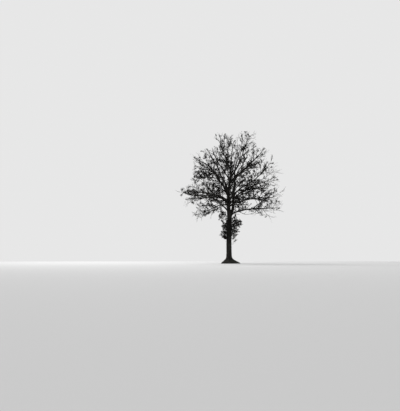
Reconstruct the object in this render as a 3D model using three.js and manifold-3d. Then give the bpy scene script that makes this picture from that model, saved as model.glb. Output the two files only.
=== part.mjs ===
// A bare winter tree grown in the open: one trunk on a flared foot, limbs that fan out from a third of the
// way up, a mass of twigs at the end of each, and tufts of shoots round the middle of the trunk.
// Millimetres, +Z up, +X to the right of the front view. The origin is the middle of the cut at ground level.

import * as THREE from "three";
import { mergeVertices } from "three/addons/utils/BufferGeometryUtils.js";
import Module from "manifold-3d";

const wasm = await Module();
wasm.setup();

const METRE = 1000;
const DEGREE = Math.PI / 180;
const CLEARANCE = 0.3; // between two pieces that meet

// The trunk. Its centreline leans and sways a little, and it thins faster above the first limbs.
const TRUNK_HEIGHT = 9.5 * METRE;
const TRUNK_BENDS = [
  { height: 0, x: 0, y: 0 },
  { height: 2600, x: -20, y: 35 },
  { height: 4900, x: 40, y: 20 },
  { height: 6300, x: -60, y: -30 },
  { height: 7900, x: -30, y: -20 },
  { height: TRUNK_HEIGHT, x: 270, y: 40 },
];
const BUTT_RADIUS = 288;
const LOWER_THINNING = 9; // millimetres of radius for each metre of height
const UPPER_THINNING = 24;
const FIRST_LIMB_HEIGHT = 5 * METRE;
const TRUNK_SIDES = 16;
const TRUNK_STEPS = 15;
const FOOT_CROWDING = 2.2; // draws the rings of the trunk together towards the foot

// The surface roots that the foot spreads into: how far each stands out at the ground and how high it climbs.
const ROOTS = [
  { heading: 4, spread: 760, climb: 360 },
  { heading: 62, spread: 380, climb: 260 },
  { heading: 118, spread: 470, climb: 300 },
  { heading: 177, spread: 420, climb: 380 },
  { heading: 236, spread: 500, climb: 320 },
  { heading: 300, spread: 400, climb: 270 },
];
const ROOT_NARROWNESS = 5;
const SKIRT_SPREAD = 150;
const SKIRT_CLIMB = 300;

const LEADER_SEAT = 40; // how far below the top of the trunk the leader's line starts

// The limbs that stand against the sky in the front view. Heading 0 is to the right, 90 away from the viewer,
// 180 to the left and 270 towards the viewer. rise is the slope in degrees at the root, halfway and at the
// tip, turn is how far the heading drifts on the way, and from is a height up the trunk, or a share of the
// parent's length.
const BROAD_LIMBS = [
  { name: "lowest_right", from: 5150, length: 5450, radius: 84, heading: 354, turn: 8, rise: [34, 4, 2] },
  { name: "low_right", from: 6050, length: 5850, radius: 82, heading: 332, turn: 14, rise: [32, 4, 14] },
  { name: "middle_right", from: 6250, length: 6500, radius: 86, heading: 22, turn: -10, rise: [48, 28, 26] },
  { name: "steep_right", from: 4900, length: 7100, radius: 168, heading: 26, turn: 0, rise: [57, 92, 50] },
  { name: "high_right", from: 6750, length: 6200, radius: 92, heading: 342, turn: 12, rise: [46, 34, 66] },
  { name: "upper_right", from: 8750, length: 4700, radius: 125, heading: 350, turn: 8, rise: [44, 42, 52] },
  { name: "top_right", from: 9250, length: 5000, radius: 78, heading: 350, turn: 0, rise: [62, 66, 78] },
  {
    name: "top_left", from: TRUNK_HEIGHT - LEADER_SEAT, length: 4500, radius: 84,
    heading: 188, turn: 0, rise: [82, 70, 90],
  },
  {
    name: "top_middle", parent: "top_left", from: 0.36, length: 2700, radius: 50,
    heading: 16, turn: 0, rise: [80, 88, 90],
  },
  { name: "upper_left", from: 9000, length: 4200, radius: 74, heading: 172, turn: 6, rise: [50, 62, 76] },
  { name: "high_left", from: 7900, length: 4900, radius: 80, heading: 198, turn: -8, rise: [62, 60, 62] },
  { name: "middle_left", from: 7250, length: 5900, radius: 98, heading: 152, turn: 12, rise: [66, 50, 18] },
  {
    name: "forked_left", parent: "middle_left", from: 0.38, length: 2900, radius: 54,
    heading: 190, turn: 0, rise: [20, -2, 6],
  },
  { name: "long_left", from: 6650, length: 5200, radius: 84, heading: 176, turn: -2, rise: [46, -2, 46] },
  { name: "low_left", from: 6350, length: 5100, radius: 76, heading: 218, turn: -10, rise: [40, 10, 6] },
  { name: "lowest_left", from: 6300, length: 3800, radius: 66, heading: 188, turn: -6, rise: [8, -28, -12] },
];

// The limbs that reach towards the viewer and away, in turns from the lowest, their headings fanned out.
const DEEP_SIDES = [
  { name: "front", heading: 270, firstFan: 0.1 },
  { name: "back", heading: 90, firstFan: 0.65 },
];
const DEEP_TIERS = 5;
const DEEP_FAN = 42;
const DEEP_LOWEST = { from: 5500, length: 5400, radius: 82, rise: [40, 14, 8] };
const DEEP_HIGHEST = { from: 8950, length: 4600, radius: 68, rise: [66, 60, 62] };

const LIMB_STEPS = 12;
const BOUGH_STEPS = 5; // the first steps of a limb are its bough, and the rest is the stem of its twigs
const LIMB_KINK = 7; // degrees either way at each step
const LIMB_TAPER = 0.65;
const LIMB_TIP_RADIUS = 14;
const BOUGH_SIDES = 6;
const LIMB_SEED = 2400;

// The tufts of shoots on the trunk, in a spiral from the lowest.
const TUFT_COUNT = 6;
const LOWEST_TUFT = { height: 2850, length: 800 };
const HIGHEST_TUFT = { height: 4650, length: 1150 };
const TUFT_HEADING = 190;
const TUFT_RISE = 38;
const TUFT_RADIUS = 30;
const TUFT_SEED = 5200;

// How shoots grow: the bends in a shoot, how far each bend strays and how far it turns up.
const HABITS = {
  stem: { steps: 6, kink: 0.16, lift: 0, sides: 4 },
  branchlet: { steps: 2, kink: 0.3, lift: 0.1, sides: 3 },
  twig: { steps: 1, kink: 0.2, lift: 0.1, sides: 3 },
};

// What each shoot bears: how many shoots of which kind, on which stretch of it, how long they are beside it,
// how much shorter towards its tip, and how far they lean out in degrees.
const CROWN_BEARING = {
  stem: { bears: "branchlet", count: 8, first: 0.04, last: 0.88, length: 0.6, shortening: 0.5, lean: 56 },
  branchlet: { bears: "twig", count: 3, first: 0.25, last: 0.85, length: 0.6, shortening: 0.35, lean: 50 },
};
const TUFT_BEARING = {
  stem: { bears: "branchlet", count: 5, first: 0.16, last: 0.8, length: 0.7, shortening: 0.45, lean: 62 },
  branchlet: { bears: "twig", count: 3, first: 0.25, last: 0.85, length: 0.6, shortening: 0.35, lean: 50 },
};
const LEAN_ALONG = [1.1, 0.7]; // shoots lean out more near the root of what bears them than near its tip
const LEAN_SPREAD = [0.85, 1.15];
const VIGOUR_SPREAD = [0.75, 1.25];
const SHOOT_SHARE = 0.5; // the radius of a shoot's root beside the radius of what bears it there
const SHORTENED = [1, 0.75, 0.5]; // a shoot that has no room is tried shorter, then left out
const SHORTEST = 140;
const GAP_TO_LIMBS = 10;
const GAP_TO_NEIGHBOURS = 24;
const SPACE_SHARE = 0.55; // how far a mass reaches from its stem beside the stem's length
const PLACES_TESTED = 8; // along each bend of a shoot

const GOLDEN_SHARE = 0.618;
const GOLDEN_TURN = 137.5;

// Which of a seed's draws settles what.
const DRAW_OF = { bend: 0, turn: 30, place: 40, lean: 60, vigour: 80, child: 100 };
const TWIG_SEEDS = 500; // between the seed of a limb and the seed of its twigs
const SEED_LIMIT = 2 ** 32;
const SEED_STEP = 0x9e3779b9;
const SEED_MIXERS = [0x85ebca6b, 0xc2b2ae35];

const BARK = { color: 0x2b2825, roughness: 0.92, metalness: 0 };
const TWIG_BARK = { color: 0x24211e, roughness: 0.86, metalness: 0 };

const SAME_POINT = 1e-3;
const HALVINGS = 30;

const lerp = THREE.MathUtils.lerp;

function between([low, high], share) {
  return lerp(low, high, share);
}

// Seeded chance: a number from 0 to 1 that depends only on the seed and on which draw it is.
function chance(seed, draw) {
  let bits = (seed + Math.imul(draw + 1, SEED_STEP)) >>> 0;
  bits = Math.imul(bits ^ (bits >>> 16), SEED_MIXERS[0]) >>> 0;
  bits = Math.imul(bits ^ (bits >>> 13), SEED_MIXERS[1]) >>> 0;
  return ((bits ^ (bits >>> 16)) >>> 0) / SEED_LIMIT;
}

function eitherWay(seed, draw) {
  return 2 * chance(seed, draw) - 1;
}

function direction(heading, rise) {
  return new THREE.Vector3(
    Math.cos(heading * DEGREE) * Math.cos(rise * DEGREE),
    Math.sin(heading * DEGREE) * Math.cos(rise * DEGREE),
    Math.sin(rise * DEGREE),
  );
}

// A value that passes through three given ones, at the start, halfway and at the end.
function through([start, halfway, end], share) {
  return (
    start * (1 - share) * (1 - 2 * share) +
    halfway * 4 * share * (1 - share) +
    end * share * (2 * share - 1)
  );
}

function anyAcross(along) {
  const reference = Math.abs(along.z) > 0.9 ? new THREE.Vector3(0, 1, 0) : new THREE.Vector3(0, 0, 1);
  return new THREE.Vector3().crossVectors(along, reference).normalize();
}

// A point at a share of the way along a line of points, with the direction there.
function placeOn(points, share) {
  const run = share * (points.length - 1);
  const step = Math.min(points.length - 2, Math.floor(run));
  const along = points[step + 1].clone().sub(points[step]);
  return { at: points[step].clone().addScaledVector(along, run - step), along: along.normalize() };
}

function radiusOn(radii, share) {
  const run = share * (radii.length - 1);
  const step = Math.min(radii.length - 2, Math.floor(run));
  return lerp(radii[step], radii[step + 1], run - step);
}

// The axes across a line of points, turned as little as they can be from each point to the next.
function crossAxes(points) {
  const last = points.length - 1;
  const alongs = points.map((_, i) =>
    points[Math.min(last, i + 1)].clone().sub(points[Math.max(0, i - 1)]).normalize(),
  );
  const acrosses = [anyAcross(alongs[0])];
  for (let i = 1; i <= last; i++) {
    const across = acrosses[i - 1].clone();
    acrosses.push(across.addScaledVector(alongs[i], -across.dot(alongs[i])).normalize());
  }
  return acrosses.map((across, i) => [across, new THREE.Vector3().crossVectors(alongs[i], across)]);
}

// A three.js cylinder, or a cone where the last radius is 0, bent so that each ring lies round its point.
function limbGeometry(points, radii, sides) {
  const last = points.length - 1;
  const axes = crossAxes(points);
  const geometry = new THREE.CylinderGeometry(radii[last] > 0 ? 1 : 0, 1, 1, sides, last);
  const position = geometry.getAttribute("position");
  for (let i = 0; i < position.count; i++) {
    const ring = Math.round((position.getY(i) + 0.5) * last);
    const angle = Math.atan2(position.getX(i), position.getZ(i));
    const onAxis = Math.hypot(position.getX(i), position.getZ(i)) < SAME_POINT;
    const radius = onAxis ? 0 : radii[ring];
    const point = points[ring].clone();
    point.addScaledVector(axes[ring][0], radius * Math.cos(angle));
    point.addScaledVector(axes[ring][1], radius * Math.sin(angle));
    position.setXYZ(i, point.x, point.y, point.z);
  }
  return geometry;
}

function solidOf(geometry) {
  geometry.deleteAttribute("normal");
  geometry.deleteAttribute("uv");
  const merged = mergeVertices(geometry, SAME_POINT);
  const vertProperties = merged.getAttribute("position").array;
  const triVerts = new Uint32Array(merged.index.array);
  return new wasm.Manifold(new wasm.Mesh({ numProp: 3, vertProperties, triVerts }));
}

function geometryOf(solid) {
  const mesh = solid.getMesh();
  const geometry = new THREE.BufferGeometry();
  geometry.setAttribute("position", new THREE.BufferAttribute(mesh.vertProperties, 3));
  geometry.setIndex(new THREE.BufferAttribute(mesh.triVerts, 1));
  geometry.computeVertexNormals();
  return geometry;
}

function largestBody(solid) {
  return solid.decompose().reduce((largest, body) => (body.volume() > largest.volume() ? body : largest));
}

const trunkCurve = new THREE.CatmullRomCurve3(
  TRUNK_BENDS.map(({ height, x, y }) => new THREE.Vector3(x, y, height)),
);

// The point of the trunk's centreline at a height, found by halving.
function trunkPoint(height) {
  let low = 0;
  let high = 1;
  for (let i = 0; i < HALVINGS; i++) {
    const middle = (low + high) / 2;
    if (trunkCurve.getPoint(middle).z < height) {
      low = middle;
    } else {
      high = middle;
    }
  }
  return trunkCurve.getPoint(low).setZ(height);
}

function trunkRadius(height) {
  const above = Math.max(0, height - FIRST_LIMB_HEIGHT);
  return BUTT_RADIUS - (LOWER_THINNING * height + UPPER_THINNING * above) / METRE;
}

function footRadius(height, angle) {
  let radius = trunkRadius(height) + SKIRT_SPREAD * Math.exp(-height / SKIRT_CLIMB);
  for (const root of ROOTS) {
    const facing = Math.max(0, Math.cos(angle - root.heading * DEGREE));
    radius += root.spread * Math.exp(-((height / root.climb) ** 2)) * facing ** ROOT_NARROWNESS;
  }
  return radius;
}

const trunkHeights = Array.from(
  { length: TRUNK_STEPS + 1 },
  (_, ring) => TRUNK_HEIGHT * (ring / TRUNK_STEPS) ** FOOT_CROWDING,
);

// The trunk, or a copy of it grown by a given amount to the sides and upwards.
function trunkSolid(growth) {
  const geometry = new THREE.CylinderGeometry(1, 1, 1, TRUNK_SIDES, TRUNK_STEPS);
  const position = geometry.getAttribute("position");
  for (let i = 0; i < position.count; i++) {
    const ring = Math.round((position.getY(i) + 0.5) * TRUNK_STEPS);
    const angle = Math.atan2(-position.getZ(i), position.getX(i));
    const onAxis = Math.hypot(position.getX(i), position.getZ(i)) < SAME_POINT;
    const radius = onAxis ? 0 : footRadius(trunkHeights[ring], angle) + growth;
    const point = trunkPoint(trunkHeights[ring]);
    point.x += radius * Math.cos(angle);
    point.y += radius * Math.sin(angle);
    point.z += ring === TRUNK_STEPS ? growth : 0;
    position.setXYZ(i, point.x, point.y, point.z);
  }
  return solidOf(geometry);
}

function deepLimbs() {
  const count = DEEP_TIERS * DEEP_SIDES.length;
  return Array.from({ length: count }, (_, k) => {
    const side = DEEP_SIDES[k % DEEP_SIDES.length];
    const tier = Math.floor(k / DEEP_SIDES.length);
    const up = k / (count - 1);
    const fan = 2 * ((side.firstFan + GOLDEN_SHARE * tier) % 1) - 1;
    return {
      name: `${side.name}_${tier + 1}`,
      from: lerp(DEEP_LOWEST.from, DEEP_HIGHEST.from, up),
      length: lerp(DEEP_LOWEST.length, DEEP_HIGHEST.length, up),
      radius: lerp(DEEP_LOWEST.radius, DEEP_HIGHEST.radius, up),
      heading: side.heading + DEEP_FAN * fan,
      turn: 0,
      rise: DEEP_LOWEST.rise.map((low, i) => lerp(low, DEEP_HIGHEST.rise[i], up)),
    };
  });
}

// The line of a limb from its root. It runs straight on where its bough ends and its twigs' stem starts.
function limbLine(limb, seed, start) {
  const points = [start];
  let way = null;
  for (let step = 0; step < LIMB_STEPS; step++) {
    const share = (step + 0.5) / LIMB_STEPS;
    const heading = limb.heading + limb.turn * share + LIMB_KINK * eitherWay(seed, 2 * step);
    const rise = through(limb.rise, share) + LIMB_KINK * eitherWay(seed, 2 * step + 1);
    if (step !== BOUGH_STEPS) {
      way = direction(heading, rise);
    }
    points.push(points.at(-1).clone().addScaledVector(way, limb.length / LIMB_STEPS));
  }
  return points;
}

function limbRadius(limb, share) {
  return LIMB_TIP_RADIUS + (limb.radius - LIMB_TIP_RADIUS) * (1 - share) ** LIMB_TAPER;
}

const limbs = new Map();
for (const limb of [...BROAD_LIMBS, ...deepLimbs()]) {
  const parent = limbs.get(limb.parent);
  const start = parent ? placeOn(parent.points, limb.from).at : trunkPoint(limb.from);
  const seed = LIMB_SEED + limbs.size;
  const points = limbLine(limb, seed, start);
  const radii = points.map((_, i) => limbRadius(limb, i / LIMB_STEPS));
  limbs.set(limb.name, { ...limb, seed, points, radii });
}

function boughPart(limb) {
  return { points: limb.points.slice(0, BOUGH_STEPS + 1), radii: limb.radii.slice(0, BOUGH_STEPS + 1) };
}

// The bough of a limb, or a copy of it grown to the sides by a given amount.
function boughSolid(limb, growth) {
  const { points, radii } = boughPart(limb);
  return solidOf(limbGeometry(points, radii.map((radius) => radius + growth), BOUGH_SIDES));
}

// A shoot's line from its root, with a radius at each point that runs evenly down to nothing at the tip.
function shoot(kind, start, along, length, radius, seed) {
  const habit = HABITS[kind];
  const points = [start];
  const way = along.clone();
  for (let step = 0; step < habit.steps; step++) {
    way.x += habit.kink * eitherWay(seed, DRAW_OF.bend + 3 * step);
    way.y += habit.kink * eitherWay(seed, DRAW_OF.bend + 3 * step + 1);
    way.z += habit.kink * eitherWay(seed, DRAW_OF.bend + 3 * step + 2) + habit.lift;
    way.normalize();
    points.push(points.at(-1).clone().addScaledVector(way, length / habit.steps));
  }
  const radii = points.map((_, i) => radius * (1 - i / habit.steps));
  return { kind, points, radii, length, seed };
}

// The stem of a crown mass carries its limb on from the tip of the bough.
function crownStem(limb) {
  const points = limb.points.slice(BOUGH_STEPS);
  const along = points[1].clone().sub(points[0]).normalize();
  points[0] = points[0].clone().addScaledVector(along, CLEARANCE);
  const radii = [...limb.radii.slice(BOUGH_STEPS, -1), 0];
  const length = limb.length * (1 - BOUGH_STEPS / LIMB_STEPS);
  return { kind: "stem", points, radii, length, seed: limb.seed + TWIG_SEEDS };
}

function tuftStem(k) {
  const up = k / (TUFT_COUNT - 1);
  const heading = TUFT_HEADING + GOLDEN_TURN * k;
  const height = lerp(LOWEST_TUFT.height, HIGHEST_TUFT.height, up);
  const length = lerp(LOWEST_TUFT.length, HIGHEST_TUFT.length, up);
  const inBark = direction(heading, 0).multiplyScalar(trunkRadius(height) / 2);
  const start = trunkPoint(height).add(inBark);
  return shoot("stem", start, direction(heading, TUFT_RISE), length, TUFT_RADIUS, TUFT_SEED + k);
}

const masses = [
  ...[...limbs.values()].map((limb) => ({
    name: `twigs_${limb.name}`,
    stem: crownStem(limb),
    bearing: CROWN_BEARING,
  })),
  ...Array.from({ length: TUFT_COUNT }, (_, k) => ({
    name: `tuft_${k + 1}`,
    stem: tuftStem(k),
    bearing: TUFT_BEARING,
  })),
];

// Everything that twigs keep clear of: the trunk, the boughs, and the stems of other masses.
const obstacles = [
  { points: trunkHeights.map(trunkPoint), radii: trunkHeights.map(trunkRadius) },
  ...[...limbs.values()].map(boughPart),
  ...masses.map(({ stem }) => stem),
];

function distanceToLine(point, line) {
  const nearest = new THREE.Vector3();
  const segment = new THREE.Line3();
  const distances = line.slice(1).map((end, i) => {
    segment.set(line[i], end).closestPointToPoint(point, true, nearest);
    return nearest.distanceTo(point);
  });
  return Math.min(...distances);
}

// The space of a mass is what lies nearer to its own stem than to any other's, out to a certain reach.
function inSpace(mass, point, margin) {
  const own = distanceToLine(point, mass.stem.points);
  if (own > mass.stem.length * SPACE_SHARE) {
    return false;
  }
  return masses.every((other) => other === mass || distanceToLine(point, other.stem.points) > own + margin);
}

function clearOfLimbs(mass, start, end, radius) {
  const places = Array.from({ length: PLACES_TESTED }, (_, i) =>
    start.clone().lerp(end, (i + 1) / PLACES_TESTED),
  );
  return obstacles.every((obstacle) => {
    if (obstacle === mass.stem) {
      return true;
    }
    return obstacle.points.slice(1).every((point, i) => {
      const line = [obstacle.points[i], point];
      const gap = Math.max(obstacle.radii[i], obstacle.radii[i + 1]) + radius + GAP_TO_LIMBS;
      return places.every((place) => distanceToLine(place, line) > gap);
    });
  });
}

// A shoot fits where it stays in the space of its mass and touches no limb.
function fits(candidate, mass, radius) {
  return candidate.points.slice(1).every((point, i) =>
    inSpace(mass, point, radius + GAP_TO_NEIGHBOURS) &&
    clearOfLimbs(mass, candidate.points[i], point, radius),
  );
}

// The shoots that one shoot bears, in a spiral round it.
function borneBy(parent, mass) {
  const bearing = mass.bearing[parent.kind];
  const borne = [];
  for (let k = 0; k < bearing.count; k++) {
    const draw = (what) => chance(parent.seed, DRAW_OF[what] + k);
    const share = lerp(bearing.first, bearing.last, (k + draw("place")) / bearing.count);
    const { at, along } = placeOn(parent.points, share);
    const across = anyAcross(along);
    const sideways = new THREE.Vector3().crossVectors(along, across);
    const turn = (GOLDEN_TURN * k + 360 * chance(parent.seed, DRAW_OF.turn)) * DEGREE;
    const lean = bearing.lean * between(LEAN_ALONG, share) * between(LEAN_SPREAD, draw("lean"));
    const way = along.clone().multiplyScalar(Math.cos(lean * DEGREE));
    way.addScaledVector(across, Math.sin(lean * DEGREE) * Math.cos(turn));
    way.addScaledVector(sideways, Math.sin(lean * DEGREE) * Math.sin(turn));
    const vigour = between(VIGOUR_SPREAD, draw("vigour"));
    const length = parent.length * bearing.length * (1 - bearing.shortening * share) * vigour;
    const radius = SHOOT_SHARE * radiusOn(parent.radii, share);
    const seed = Math.floor(draw("child") * SEED_LIMIT);
    const found = SHORTENED.map((shorter) => length * shorter)
      .filter((tried) => tried > SHORTEST && inSpace(mass, at, radius + GAP_TO_NEIGHBOURS))
      .map((tried) => shoot(bearing.bears, at, way, tried, radius, seed))
      .find((candidate) => fits(candidate, mass, radius));
    if (found) {
      borne.push(found);
    }
  }
  return borne;
}

function massSolid(mass) {
  const branchlets = borneBy(mass.stem, mass);
  const twigs = branchlets.flatMap((branchlet) => borneBy(branchlet, mass));
  const solids = [mass.stem, ...branchlets, ...twigs].map(({ kind, points, radii }) =>
    solidOf(limbGeometry(points, radii, HABITS[kind].sides)),
  );
  return solids.reduce((whole, part) => whole.add(part));
}

const tree = new THREE.Group();

function addPiece(name, solid, bark) {
  const mesh = new THREE.Mesh(geometryOf(solid), new THREE.MeshStandardMaterial(bark));
  mesh.name = name;
  tree.add(mesh);
}

const grownTrunk = trunkSolid(CLEARANCE);
addPiece("trunk", trunkSolid(0), BARK);

// A bough is cut where it enters the trunk or its parent, or presses against another bough at the root.
const grownBoughs = [];
for (const limb of limbs.values()) {
  const outside = boughSolid(limb, 0).subtract(grownTrunk);
  const bough = grownBoughs.reduce((rest, other) => rest.subtract(other), outside);
  addPiece(`bough_${limb.name}`, largestBody(bough), BARK);
  grownBoughs.push(boughSolid(limb, CLEARANCE));
}

for (const mass of masses) {
  addPiece(mass.name, largestBody(massSolid(mass).subtract(grownTrunk)), TWIG_BARK);
}

export default tree;
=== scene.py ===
import math

import bpy
import numpy as np
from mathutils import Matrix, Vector


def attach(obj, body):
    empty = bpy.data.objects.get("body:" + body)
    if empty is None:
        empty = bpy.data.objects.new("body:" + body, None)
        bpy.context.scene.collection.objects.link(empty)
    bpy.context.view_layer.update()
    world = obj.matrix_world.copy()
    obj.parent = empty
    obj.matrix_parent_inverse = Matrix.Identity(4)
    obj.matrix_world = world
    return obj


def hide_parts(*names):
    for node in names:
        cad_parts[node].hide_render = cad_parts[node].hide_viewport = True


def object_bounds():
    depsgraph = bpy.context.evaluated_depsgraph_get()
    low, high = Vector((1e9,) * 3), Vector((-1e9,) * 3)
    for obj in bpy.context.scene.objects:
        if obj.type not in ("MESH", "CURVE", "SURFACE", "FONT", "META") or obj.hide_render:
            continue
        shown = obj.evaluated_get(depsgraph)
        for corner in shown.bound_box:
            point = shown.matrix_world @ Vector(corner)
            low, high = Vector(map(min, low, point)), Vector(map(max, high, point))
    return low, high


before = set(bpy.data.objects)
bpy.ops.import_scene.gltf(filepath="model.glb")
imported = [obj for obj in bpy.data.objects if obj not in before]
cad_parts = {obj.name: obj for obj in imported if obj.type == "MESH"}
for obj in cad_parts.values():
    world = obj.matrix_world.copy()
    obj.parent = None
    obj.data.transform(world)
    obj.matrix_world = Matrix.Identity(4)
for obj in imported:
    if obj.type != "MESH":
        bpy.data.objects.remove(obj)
cad_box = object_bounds()


# THE TRUNK
# One stem of living wood under thick, deeply furrowed bark, 0.55 m through. It grew up from surface roots,
# which spread its foot over the ground, and it leans and sways a little on its way to the two leaders.

TRUNK_HEIGHT = 9.5
TRUNK_BENDS = np.array([
    (0.0, 0.0, 0.0),
    (-0.02, 0.035, 2.6),
    (0.04, 0.02, 4.9),
    (-0.06, -0.03, 6.3),
    (-0.03, -0.02, 7.9),
    (0.27, 0.04, TRUNK_HEIGHT),
])
BUTT_RADIUS = 0.288
LOWER_THINNING = 0.009
UPPER_THINNING = 0.024
FIRST_LIMB_HEIGHT = 5.0
SKIRT_SPREAD = 0.15
SKIRT_CLIMB = 0.3
ROOTS = (
    # heading, spread, height over which it climbs the trunk
    (4, 0.76, 0.36),
    (62, 0.38, 0.26),
    (118, 0.47, 0.3),
    (177, 0.42, 0.38),
    (236, 0.5, 0.32),
    (300, 0.4, 0.27),
)
ROOT_NARROWNESS = 5
TRUNK_LINE_POINTS = 400
TRUNK_SIDES = 180
TRUNK_CUTS = (99, 2)
RINGS_NEAR_THE_FOOT = 1.5
RING_DIGITS = 5
ROUNDED_TOP = 0.09  # the height over which the trunk rounds off between its leaders
ROUNDED_SO_FAR = 0.96
SAME_HEIGHT = 1e-4

FURROWS = dict(width=0.052, stretch=4.2, depth=0.026, sharpness=0.34, middle=0.33)
BURRS = dict(width=0.24, stretch=2.2, depth=0.02, middle=0.5)
CRAZING = dict(width=0.016, stretch=2.5, depth=0.005, middle=0.5)
CLOUD_LAYERS = 3
BARK_AT_THE_TOP = 0.5
BARK_DIGITS = 2
TRUNK_BARK_SHIFT = (3.1, 0.7, 0)


def lerp(start, end, share):
    return start + (end - start) * share


def unit(vectors):
    return vectors / np.linalg.norm(vectors, axis=-1, keepdims=True)


def curve_through(points, places):
    """Where the smooth curve through a line of points is, after so many of its steps."""
    before = 2 * points[..., :1, :] - points[..., 1:2, :]
    after = 2 * points[..., -1:, :] - points[..., -2:-1, :]
    run = np.concatenate([before, points, after], axis=-2)
    step = np.minimum(np.floor(places).astype(int), points.shape[-2] - 2)
    share = (places - step)[:, None]
    a, b, c, d = (run[..., step + i, :] for i in range(4))
    ab, bc, cd = (np.linalg.norm(q - p, axis=-1, keepdims=True) ** 0.5 for p, q in ((a, b), (b, c), (c, d)))
    leaving = ((b - a) / ab - (c - a) / (ab + bc) + (c - b) / bc) * bc
    arriving = ((c - b) / bc - (d - b) / (bc + cd) + (d - c) / cd) * bc
    bend = 3 * (c - b) - 2 * leaving - arriving
    twist = 2 * (b - c) + leaving + arriving
    return b + leaving * share + bend * share**2 + twist * share**3


trunk_line = curve_through(TRUNK_BENDS, np.linspace(0, len(TRUNK_BENDS) - 1, TRUNK_LINE_POINTS))


def trunk_point(height):
    across, away = (np.interp(height, trunk_line[:, 2], trunk_line[:, i]) for i in range(2))
    return np.stack([across, away, np.asarray(height, float)], axis=-1)


def trunk_radius(height):
    above = np.maximum(0, height - FIRST_LIMB_HEIGHT)
    return BUTT_RADIUS - LOWER_THINNING * height - UPPER_THINNING * above


def foot_radius(height, angle):
    radius = trunk_radius(height) + SKIRT_SPREAD * np.exp(-height / SKIRT_CLIMB)
    for heading, spread, climb in ROOTS:
        facing = np.maximum(0, np.cos(angle - math.radians(heading)))
        radius = radius + spread * np.exp(-((height / climb) ** 2)) * facing**ROOT_NARROWNESS
    return radius


def vertices_of(piece, what="co"):
    values = np.empty(len(piece.data.vertices) * 3, np.float32)
    piece.data.vertices.foreach_get(what, values)
    return values.reshape(-1, 3).astype(float)


def move_vertices(piece, places):
    piece.data.vertices.foreach_set("co", places.astype(np.float32).ravel())
    piece.data.update()


def straight_stem(name, sides, cuts):
    """An upright cylinder one metre high and one in radius, cut across into rings."""
    bpy.ops.object.select_all(action="DESELECT")
    bpy.ops.mesh.primitive_cylinder_add(vertices=sides, radius=1, depth=1, location=(0, 0, 0.5))
    stem = bpy.context.object
    stem.name = stem.data.name = name
    bpy.ops.object.transform_apply(location=True, rotation=True, scale=True)
    for number in cuts:
        bpy.ops.object.mode_set(mode="EDIT")
        bpy.ops.mesh.select_mode(type="EDGE")
        bpy.ops.mesh.select_all(action="DESELECT")
        bpy.ops.object.mode_set(mode="OBJECT")
        for edge in stem.data.edges:
            foot, head = (stem.data.vertices[i].co.z for i in edge.vertices)
            edge.select = abs(head - foot) > SAME_HEIGHT
        bpy.ops.object.mode_set(mode="EDIT")
        bpy.ops.mesh.subdivide(number_cuts=number)
        bpy.ops.object.mode_set(mode="OBJECT")
    return stem


def raised(stem, kind, pattern, weights, shift):
    """Raises and sinks a stem's surface by a pattern that is drawn out along it."""
    texture = bpy.data.textures.new(f"{stem.name}_{kind.lower()}", kind)
    texture.noise_scale = pattern["width"]
    if kind == "VORONOI":
        texture.weight_1, texture.weight_2 = -1, 1
        texture.noise_intensity = 1 / pattern["sharpness"]
    else:
        texture.noise_depth = CLOUD_LAYERS
    ruler = bpy.data.objects.new("ruler", None)
    ruler.location = shift
    ruler.scale = (1, 1, pattern["stretch"])
    bpy.context.scene.collection.objects.link(ruler)
    bpy.context.view_layer.update()
    group = stem.vertex_groups.new(name="depth")
    for weight in np.unique(weights):
        group.add(np.flatnonzero(weights == weight).tolist(), float(weight), "REPLACE")
    relief = stem.modifiers.new(kind.lower(), "DISPLACE")
    relief.texture = texture
    relief.texture_coords = "OBJECT"
    relief.texture_coords_object = ruler
    relief.vertex_group = group.name
    relief.mid_level = pattern["middle"]
    relief.strength = pattern["depth"]
    bpy.context.view_layer.objects.active = stem
    bpy.ops.object.modifier_apply(modifier=relief.name)
    stem.vertex_groups.clear()
    bpy.data.objects.remove(ruler)


def barked(stem, patterns, weights, shift):
    """Gives a stem its furrows and burrs, and keeps each point's height above the furrows for the colour.

    Returns how far each point was raised.
    """
    smooth = vertices_of(stem)
    outward = vertices_of(stem, "normal")
    for kind, pattern in patterns:
        raised(stem, kind, pattern, weights, shift)
    relief = ((vertices_of(stem) - smooth) * outward).sum(axis=1)
    furrows = patterns[0][1]
    height = np.clip(furrows["middle"] + relief / furrows["depth"], 0, 1)
    ridge = stem.data.attributes.new("ridge", "FLOAT", "POINT")
    ridge.data.foreach_set("value", height.astype(np.float32))
    return relief


def set_round(stem, radius, angle, height):
    """Sets the points of an upright stem at their distances from its middle."""
    move_vertices(stem, np.stack([radius * np.cos(angle), radius * np.sin(angle), height], axis=1))


trunk = straight_stem("furrowed_trunk", TRUNK_SIDES, TRUNK_CUTS)
ring = vertices_of(trunk)
trunk_angle = np.arctan2(ring[:, 1], ring[:, 0])
trunk_height = TRUNK_HEIGHT * np.round(ring[:, 2], RING_DIGITS) ** RINGS_NEAR_THE_FOOT
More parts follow.
